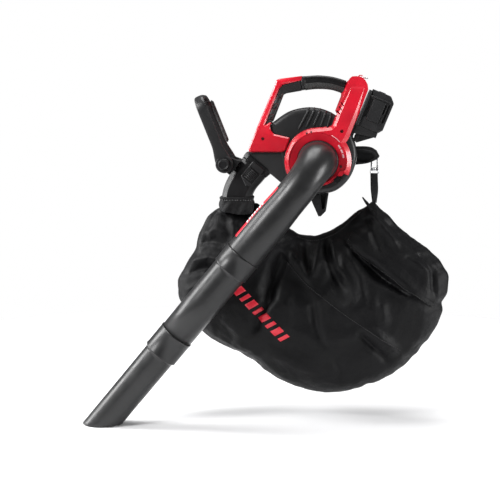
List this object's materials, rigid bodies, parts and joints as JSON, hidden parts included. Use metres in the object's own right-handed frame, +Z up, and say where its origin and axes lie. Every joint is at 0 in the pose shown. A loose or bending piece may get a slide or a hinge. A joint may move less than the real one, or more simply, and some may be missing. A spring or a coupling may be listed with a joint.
{
  "type": "leaf vacuum mulcher",
  "caption": "Cordless leaf vacuum mulcher with a side-entry suction tube, red body and grip, tilting front handle, slide-on battery and a black collection bag.",
  "frame": {"origin": "where the fan axis meets the flat end of the motor cover", "axes": "+Z up in the working pose, +Y along the fan axis from the intake to the motor, +X towards the operator, so the nozzle points down towards -X"},
  "size_m": [0.8234, 0.2796, 0.7905],
  "materials": {
    "red_shell": "glossy red ABS with a fine moulded grain",
    "charcoal_plastic": "satin charcoal plastic",
    "tube_plastic": "satin blow-moulded polypropylene",
    "black_plastic": "matte black glass-filled plastic",
    "fan_plastic": "glass-filled nylon",
    "grip_rubber": "soft over-moulded rubber",
    "bag_fabric": "black woven polyester with a slight sheen",
    "webbing": "black nylon webbing",
    "steel": "zinc-plated steel",
    "copper": "enamelled copper winding",
    "board_green": "green circuit board",
    "chrome": "chrome-plated wire and die casting"
  },
  "bodies": {
    "root": {"scroll_housing_near": "black_plastic", "scroll_housing_far": "black_plastic", "body_shell_near": "red_shell", "body_shell_far": "red_shell", "front_post_near": "red_shell", "front_post_far": "red_shell", "handle_frame_near": "charcoal_plastic", "handle_frame_far": "charcoal_plastic", "grip_rubber": "grip_rubber", "trigger_switch": "black_plastic", "motor_can": "steel", "motor_stator": "copper", "bearing_front": "steel", "bearing_rear": "steel", "motor_cover": "black_plastic", "battery_dock": "black_plastic", "control_board": "board_green", "hook_arm": "black_plastic", "bottom_fin": "black_plastic", "spine_screw": "steel", "ring_screw": "steel", "foot_screw": "steel", "outlet_elbow": "black_plastic", "handle_bracket": "black_plastic", "handle_bolt": "steel", "handle_nut": "steel", "bag_cuff": "bag_fabric", "collection_bag": "bag_fabric", "bag_strap": "webbing", "snap_hook": "chrome"},
    "fan": {"impeller": "fan_plastic", "mulching_blade": "steel", "impeller_nut": "steel", "motor_shaft": "steel", "motor_rotor": "steel"},
    "trigger": {"trigger": "charcoal_plastic"},
    "battery": {"battery_pack": "black_plastic"},
    "battery_button": {"battery_release_button": "red_shell"},
    "lock_collar": {"tube_lock_collar": "charcoal_plastic"},
    "suction_tube": {"intake_elbow_tube": "tube_plastic"},
    "middle_tube": {"middle_tube": "tube_plastic"},
    "nozzle": {"nozzle_tube": "tube_plastic"},
    "tube_latch": {"tube_latch": "black_plastic"},
    "outlet_button": {"outlet_release_button": "charcoal_plastic"},
    "front_handle": {"front_handle": "charcoal_plastic", "front_handle_pad": "grip_rubber"},
    "handle_knob": {"handle_knob": "black_plastic"},
    "strap_ring": {"strap_ring": "chrome"},
    "snap_gate": {"snap_gate": "chrome"}
  },
  "joints": [
    {"name": "fan_spin", "type": "hinge", "parent": "root", "child": "fan", "pos_m": [0, -0.112, 0], "axis": [0, 1, 0], "continuous": true},
    {"name": "trigger_pull", "type": "hinge", "parent": "root", "child": "trigger", "pos_m": [-0.026, -0.112, 0.166], "axis": [0, -1, 0], "range_deg": [0, 5]},
    {"name": "battery_slide", "type": "slide", "parent": "root", "child": "battery", "axis": [0.3746, 0, 0.9272], "range_m": [0, 0.09]},
    {"name": "battery_button_press", "type": "slide", "parent": "battery", "child": "battery_button", "axis": [-0.3746, 0, -0.9272], "range_m": [0, 0.003]},
    {"name": "tube_lock_turn", "type": "hinge", "parent": "root", "child": "lock_collar", "pos_m": [0, -0.112, 0], "axis": [0, 1, 0], "range_deg": [0, 25]},
    {"name": "tube_pull", "type": "slide", "parent": "lock_collar", "child": "suction_tube", "axis": [0, -1, 0], "range_m": [0, 0.06]},
    {"name": "middle_tube_pull", "type": "slide", "parent": "suction_tube", "child": "middle_tube", "axis": [-0.6374, 0, -0.7705], "range_m": [0, 0.042]},
    {"name": "nozzle_pull", "type": "slide", "parent": "middle_tube", "child": "nozzle", "axis": [-0.6374, 0, -0.7705], "range_m": [0, 0.055]},
    {"name": "tube_latch_press", "type": "slide", "parent": "root", "child": "tube_latch", "axis": [0, 1, 0], "range_m": [0, 0.003]},
    {"name": "outlet_button_press", "type": "slide", "parent": "root", "child": "outlet_button", "axis": [0, 1, 0], "range_m": [0, 0.003]},
    {"name": "front_handle_tilt", "type": "hinge", "parent": "root", "child": "front_handle", "pos_m": [-0.211, -0.112, -0.0075], "axis": [0, 1, 0], "range_deg": [-40, 45]},
    {"name": "handle_knob_turn", "type": "hinge", "parent": "root", "child": "handle_knob", "pos_m": [-0.211, -0.112, -0.0075], "axis": [0, 1, 0], "range_deg": [0, 270]},
    {"name": "strap_ring_swing", "type": "hinge", "parent": "root", "child": "strap_ring", "pos_m": [0.094, -0.11, 0.1885], "axis": [0, 1, 0], "range_deg": [-140, 0]},
    {"name": "snap_gate_open", "type": "hinge", "parent": "root", "child": "snap_gate", "pos_m": [0.1336, -0.112, -0.0088], "axis": [0, 1, 0], "range_deg": [-20, 0]}
  ]
}
